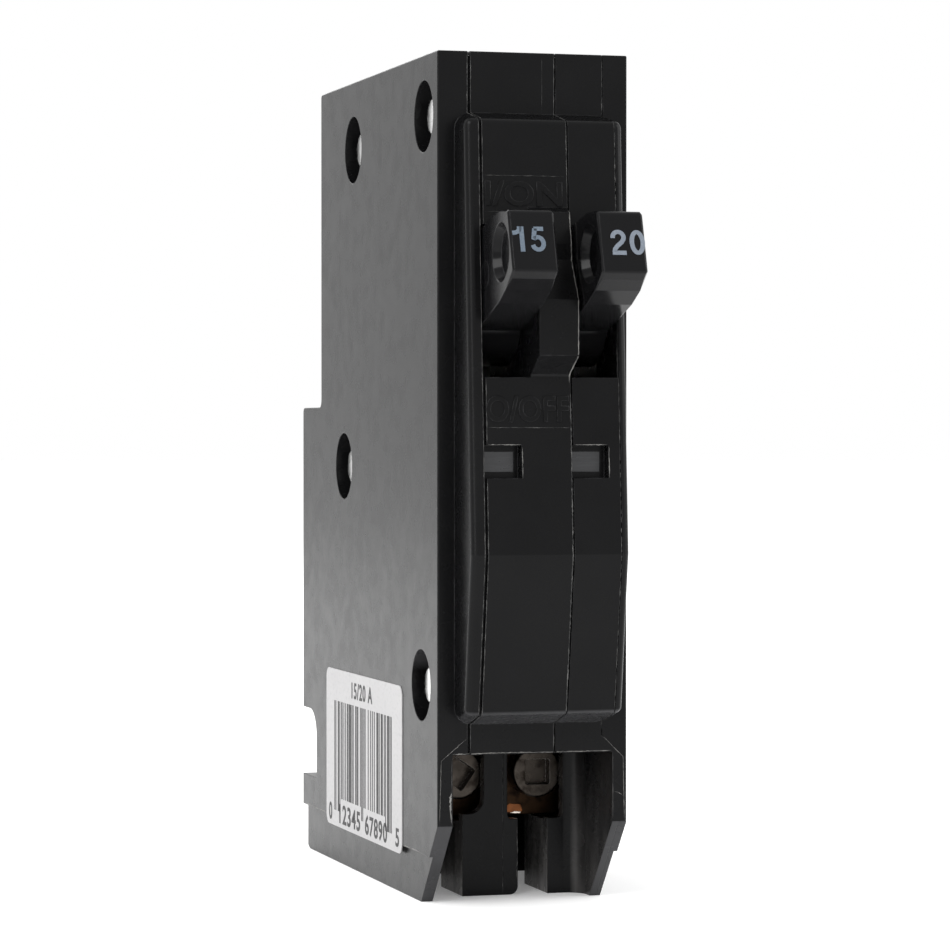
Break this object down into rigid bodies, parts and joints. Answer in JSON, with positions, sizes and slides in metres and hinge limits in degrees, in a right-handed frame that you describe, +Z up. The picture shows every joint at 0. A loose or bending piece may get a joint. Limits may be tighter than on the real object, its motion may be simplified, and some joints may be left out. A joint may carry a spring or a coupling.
{
  "type": "tandem circuit breaker",
  "caption": "Slim plug-on circuit breaker with two toggle handles, wire clamp screws at its lower end and a spring jaw and rail notch at its back.",
  "frame": {"origin": "centre of the whole part's box, at the base where the wires enter", "axes": "+X to the right as seen from the handles, +Y from the handles back into the panel, +Z up along the case"},
  "size_m": [0.0189, 0.0698, 0.0813],
  "materials": {
    "case_plastic": "satin black phenolic moulding",
    "handle_plastic": "satin black moulding",
    "rivet_nickel": "bright nickel",
    "label_paper": "matt white",
    "copper": "bare copper",
    "plated_copper": "tin plated",
    "pin_steel": "ground",
    "spring_steel": "drawn wire",
    "stamped_steel": "zinc plated",
    "contact_silver": "silver alloy",
    "bimetal": "rolled",
    "flag_plastic": "bright orange red",
    "lens_plastic": "clear plastic pane",
    "brass": "plain brass",
    "screw_steel": "dull plated steel"
  },
  "bodies": {
    "housing": {"left_cover": "case_plastic", "left_case": "case_plastic", "right_case": "case_plastic", "right_cover": "case_plastic", "rivets": "rivet_nickel", "side_label": "label_paper", "line_bus": "copper", "line_jaw": "plated_copper", "handle_pivot_a": "pin_steel", "trip_pivot_a": "pin_steel", "armature_pivot_a": "pin_steel", "fixed_contact_a": "contact_silver", "line_strap_a": "copper", "arc_plates_a": "stamped_steel", "toggle_spring_a": "spring_steel", "indicator_lens_a": "lens_plastic", "magnet_yoke_a": "stamped_steel", "bimetal_a": "bimetal", "calibration_screw_a": "brass", "load_terminal_a": "plated_copper", "braid_a": "copper", "armature_spring_a": "spring_steel", "handle_pivot_b": "pin_steel", "trip_pivot_b": "pin_steel", "armature_pivot_b": "pin_steel", "fixed_contact_b": "contact_silver", "line_strap_b": "copper", "arc_plates_b": "stamped_steel", "toggle_spring_b": "spring_steel", "indicator_lens_b": "lens_plastic", "magnet_yoke_b": "stamped_steel", "bimetal_b": "bimetal", "calibration_screw_b": "brass", "load_terminal_b": "plated_copper", "braid_b": "copper", "armature_spring_b": "spring_steel"},
    "handle_a": {"handle_a": "handle_plastic", "arm_pivot_a": "pin_steel"},
    "contact_arm_a": {"contact_arm_a": "copper", "moving_contact_a": "contact_silver"},
    "trip_lever_a": {"trip_lever_a": "stamped_steel", "indicator_flag_a": "flag_plastic"},
    "armature_a": {"armature_a": "stamped_steel"},
    "clamp_a": {"clamp_plate_a": "brass"},
    "terminal_screw_a": {"terminal_screw_a": "screw_steel"},
    "handle_b": {"handle_b": "handle_plastic", "arm_pivot_b": "pin_steel"},
    "contact_arm_b": {"contact_arm_b": "copper", "moving_contact_b": "contact_silver"},
    "trip_lever_b": {"trip_lever_b": "stamped_steel", "indicator_flag_b": "flag_plastic"},
    "armature_b": {"armature_b": "stamped_steel"},
    "clamp_b": {"clamp_plate_b": "brass"},
    "terminal_screw_b": {"terminal_screw_b": "screw_steel"}
  },
  "joints": [
    {"name": "handle_toggle_a", "type": "hinge", "parent": "housing", "child": "handle_a", "pos_m": [-0.0041, -0.01744, 0.05755], "axis": [1, 0, 0], "range_deg": [0, 34.6]},
    {"name": "contact_swing_a", "type": "hinge", "parent": "handle_a", "child": "contact_arm_a", "pos_m": [-0.0041, -0.01267, 0.05606], "axis": [1, 0, 0], "range_deg": [-58.8, 0], "deforming": ["toggle_spring_a", "braid_a"]},
    {"name": "trip_lever_swing_a", "type": "hinge", "parent": "housing", "child": "trip_lever_a", "pos_m": [-0.0041, -0.01244, 0.0478], "axis": [1, 0, 0], "range_deg": [-16, 0]},
    {"name": "armature_pull_a", "type": "hinge", "parent": "housing", "child": "armature_a", "pos_m": [-0.0041, 0.00826, 0.0243], "axis": [1, 0, 0], "range_deg": [-5, 0], "stiffness_Nm_per_rad": 0.004, "springref_deg": 8.59, "deforming": ["armature_spring_a"]},
    {"name": "clamp_travel_a", "type": "slide", "parent": "housing", "child": "clamp_a", "axis": [0, 1, 0], "range_m": [0, 0.0024]},
    {"name": "screw_turn_a", "type": "hinge", "parent": "clamp_a", "child": "terminal_screw_a", "pos_m": [-0.00404, -0.00644, 0.0118], "axis": [0, 1, 0], "range_deg": [0, 1080]},
    {"name": "handle_toggle_b", "type": "hinge", "parent": "housing", "child": "handle_b", "pos_m": [0.00445, -0.01744, 0.05755], "axis": [1, 0, 0], "range_deg": [0, 34.6]},
    {"name": "contact_swing_b", "type": "hinge", "parent": "handle_b", "child": "contact_arm_b", "pos_m": [0.00445, -0.01267, 0.05606], "axis": [1, 0, 0], "range_deg": [-58.8, 0], "deforming": ["toggle_spring_b", "braid_b"]},
    {"name": "trip_lever_swing_b", "type": "hinge", "parent": "housing", "child": "trip_lever_b", "pos_m": [0.00445, -0.01244, 0.0478], "axis": [1, 0, 0], "range_deg": [-16, 0]},
    {"name": "armature_pull_b", "type": "hinge", "parent": "housing", "child": "armature_b", "pos_m": [0.00445, 0.00826, 0.0243], "axis": [1, 0, 0], "range_deg": [-5, 0], "stiffness_Nm_per_rad": 0.004, "springref_deg": 8.59, "deforming": ["armature_spring_b"]},
    {"name": "clamp_travel_b", "type": "slide", "parent": "housing", "child": "clamp_b", "axis": [0, 1, 0], "range_m": [0, 0.0024]},
    {"name": "screw_turn_b", "type": "hinge", "parent": "clamp_b", "child": "terminal_screw_b", "pos_m": [0.00404, -0.00644, 0.0118], "axis": [0, 1, 0], "range_deg": [0, 1080]}
  ],
  "couplings": [
    {"joint": "contact_swing_a", "follows": "handle_toggle_a", "ratio": -1.6936},
    {"joint": "screw_turn_a", "follows": "clamp_travel_a", "rad_per_m": 7854},
    {"joint": "contact_swing_b", "follows": "handle_toggle_b", "ratio": -1.6936},
    {"joint": "screw_turn_b", "follows": "clamp_travel_b", "rad_per_m": 7854}
  ]
}
